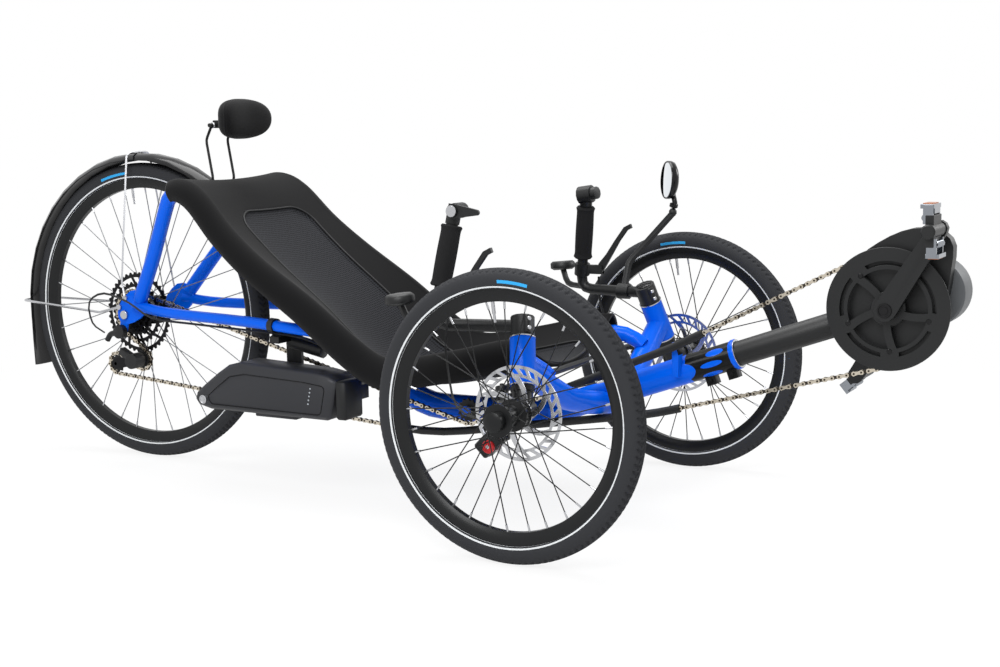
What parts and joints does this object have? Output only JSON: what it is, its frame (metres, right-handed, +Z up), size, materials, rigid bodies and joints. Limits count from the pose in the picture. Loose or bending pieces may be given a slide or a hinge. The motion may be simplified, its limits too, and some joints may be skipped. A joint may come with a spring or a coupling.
{
  "type": "recumbent tricycle",
  "caption": "Low recumbent tricycle with two steered front wheels, a chain-driven rear wheel, sling seat, telescoping boom and electric mid-drive.",
  "frame": {"origin": "on the ground, at the middle of the footprint", "axes": "+X to the front, +Y to the rider's left, +Z up"},
  "size_m": [2.0744, 0.876, 0.768],
  "materials": {
    "blue_paint": "gloss",
    "black_paint": "satin",
    "black_alloy": "black anodised",
    "dark_steel": "dark",
    "bright_steel": "bright",
    "grey_alloy": "cast",
    "tyre_rubber": "matte",
    "black_fabric": "woven",
    "grip_rubber": "foam",
    "matte_plastic": "matte",
    "gloss_plastic": "gloss"
  },
  "bodies": {
    "frame": {"main_tube": "blue_paint", "cross_arm_left": "blue_paint", "cross_arm_right": "blue_paint", "seat_hoop_left": "blue_paint", "seat_hoop_right": "blue_paint", "chainstay_left": "blue_paint", "chainstay_right": "blue_paint", "rear_bridge": "blue_paint", "seat_sling": "black_fabric", "headrest_frame": "bright_steel", "rear_fender": "gloss_plastic", "fender_stay_upper": "bright_steel", "fender_stay_rear": "bright_steel", "rear_axle": "bright_steel", "chain": "bright_steel", "chain_tube_upper": "matte_plastic", "chain_tube_lower": "matte_plastic", "derailleur_body": "black_paint", "shift_cable": "matte_plastic", "battery_bracket": "black_paint", "battery_base": "matte_plastic"},
    "rear_wheel_set": {"rear_wheel": "black_alloy", "rear_tyre": "tyre_rubber", "cassette": "dark_steel"},
    "left_steering": {"knuckle_left": "black_alloy", "handlebar_left": "black_paint", "grip_left": "grip_rubber", "caliper_left": "black_paint", "brake_cable_left": "matte_plastic"},
    "right_steering": {"knuckle_right": "black_alloy", "handlebar_right": "black_paint", "grip_right": "grip_rubber", "caliper_right": "black_paint", "brake_cable_right": "matte_plastic"},
    "left_wheel_set": {"front_tyre_left": "tyre_rubber", "front_wheel_left": "black_alloy", "rotor_left": "bright_steel"},
    "right_wheel_set": {"front_tyre_right": "tyre_rubber", "front_wheel_right": "black_alloy", "rotor_right": "bright_steel"},
    "tie_link": {"tie_rod": "black_paint"},
    "boom_set": {"boom": "black_paint", "motor_housing": "black_paint", "motor_can": "grey_alloy"},
    "crank_set": {"chainring": "black_paint", "crank_right": "black_paint", "crank_left": "black_paint"},
    "right_pedal": {"pedal_right": "dark_steel"},
    "left_pedal": {"pedal_left": "dark_steel"},
    "idler": {"idler_pulley": "matte_plastic"},
    "left_lever": {"brake_lever_left": "black_paint"},
    "right_lever": {"brake_lever_right": "black_paint"},
    "shifter": {"shifter_lever": "black_paint"},
    "derailleur_set": {"derailleur_carriage": "black_paint"},
    "cage": {"derailleur_cage": "dark_steel"},
    "guide_wheel": {"guide_pulley": "matte_plastic"},
    "tension_wheel": {"tension_pulley": "matte_plastic"},
    "mirror": {"mirror_head": "gloss_plastic"},
    "headrest": {"headrest_pad": "black_fabric"},
    "battery": {"battery_case": "matte_plastic"}
  },
  "joints": [
    {"name": "rear_wheel_spin", "type": "hinge", "parent": "frame", "child": "rear_wheel_set", "pos_m": [-0.69327, 0, 0.3195], "axis": [0, 1, 0], "continuous": true},
    {"name": "left_steer", "type": "hinge", "parent": "frame", "child": "left_steering", "pos_m": [0.37623, 0.286, 0.3175], "axis": [-0.192, -0.3835, 0.9034], "range_deg": [-16, 16]},
    {"name": "right_steer", "type": "hinge", "parent": "frame", "child": "right_steering", "pos_m": [0.37623, -0.286, 0.3175], "axis": [-0.192, 0.3835, 0.9034], "range_deg": [-16, 16]},
    {"name": "left_wheel_spin", "type": "hinge", "parent": "left_steering", "child": "left_wheel_set", "pos_m": [0.39973, 0.386, 0.243], "axis": [0, 1, 0], "continuous": true},
    {"name": "right_wheel_spin", "type": "hinge", "parent": "right_steering", "child": "right_wheel_set", "pos_m": [0.39973, -0.386, 0.243], "axis": [0, 1, 0], "continuous": true},
    {"name": "tie_rod_swing", "type": "hinge", "parent": "left_steering", "child": "tie_link", "pos_m": [0.32923, 0.274, 0.265], "axis": [-0.1165, -0.4616, 0.8794], "range_deg": [-19, 19]},
    {"name": "boom_slide", "type": "slide", "parent": "frame", "child": "boom_set", "axis": [0.9421, 0, 0.3355], "range_m": [-0.05, 0.06], "deforming": ["chain"]},
    {"name": "crank_spin", "type": "hinge", "parent": "boom_set", "child": "crank_set", "pos_m": [0.92473, 0, 0.404], "axis": [0, 1, 0], "continuous": true},
    {"name": "right_pedal_spin", "type": "hinge", "parent": "crank_set", "child": "right_pedal", "pos_m": [1.00846, -0.0677, 0.53799], "axis": [0, 1, 0], "continuous": true},
    {"name": "left_pedal_spin", "type": "hinge", "parent": "crank_set", "child": "left_pedal", "pos_m": [0.84101, 0.0675, 0.27001], "axis": [0, 1, 0], "continuous": true},
    {"name": "idler_spin", "type": "hinge", "parent": "frame", "child": "idler", "pos_m": [0.12973, -0.046, 0.173], "axis": [0, 1, 0], "continuous": true},
    {"name": "left_lever_pull", "type": "hinge", "parent": "left_steering", "child": "left_lever", "pos_m": [0.25233, 0.28623, 0.41751], "axis": [0, -1, 0], "range_deg": [0, 20], "stiffness_Nm_per_rad": 2},
    {"name": "right_lever_pull", "type": "hinge", "parent": "right_steering", "child": "right_lever", "pos_m": [0.25233, -0.28623, 0.41751], "axis": [0, -1, 0], "range_deg": [0, 20], "stiffness_Nm_per_rad": 2},
    {"name": "shifter_turn", "type": "hinge", "parent": "right_steering", "child": "shifter", "pos_m": [0.24233, -0.25823, 0.56651], "axis": [0, 1, 0], "range_deg": [-15, 25]},
    {"name": "derailleur_shift", "type": "slide", "parent": "frame", "child": "derailleur_set", "axis": [0, 0.456, -0.89], "range_m": [-0.0121, 0.0201], "deforming": ["chain"]},
    {"name": "cage_swing", "type": "hinge", "parent": "derailleur_set", "child": "cage", "pos_m": [-0.67827, -0.046, 0.2205], "axis": [0, 1, 0], "range_deg": [-15, 15], "stiffness_Nm_per_rad": 2, "deforming": ["chain"]},
    {"name": "guide_spin", "type": "hinge", "parent": "cage", "child": "guide_wheel", "pos_m": [-0.67827, -0.046, 0.2205], "axis": [0, 1, 0], "continuous": true},
    {"name": "tension_spin", "type": "hinge", "parent": "cage", "child": "tension_wheel", "pos_m": [-0.74827, -0.046, 0.2075], "axis": [0, 1, 0], "continuous": true},
    {"name": "mirror_tilt", "type": "hinge", "parent": "left_steering", "child": "mirror", "pos_m": [0.39173, 0.33, 0.529], "axis": [0, 1, 0], "range_deg": [-10, 10]},
    {"name": "headrest_tilt", "type": "hinge", "parent": "frame", "child": "headrest", "pos_m": [-0.47227, 0, 0.716], "axis": [0, 1, 0], "range_deg": [-12, 12]},
    {"name": "battery_slide", "type": "slide", "parent": "frame", "child": "battery", "axis": [-1, 0, 0], "range_m": [0, 0.05]}
  ],
  "couplings": [
    {"joint": "right_steer", "follows": "left_steer", "ratio": 1},
    {"joint": "tie_rod_swing", "follows": "left_steer", "ratio": -1.1558},
    {"joint": "rear_wheel_spin", "follows": "crank_spin", "ratio": 1.9167},
    {"joint": "idler_spin", "follows": "crank_spin", "ratio": -3.5385},
    {"joint": "guide_spin", "follows": "crank_spin", "ratio": -4.1818},
    {"joint": "tension_spin", "follows": "crank_spin", "ratio": 4.1818},
    {"joint": "derailleur_shift", "follows": "shifter_turn", "m_per_rad": 0.046}
  ]
}
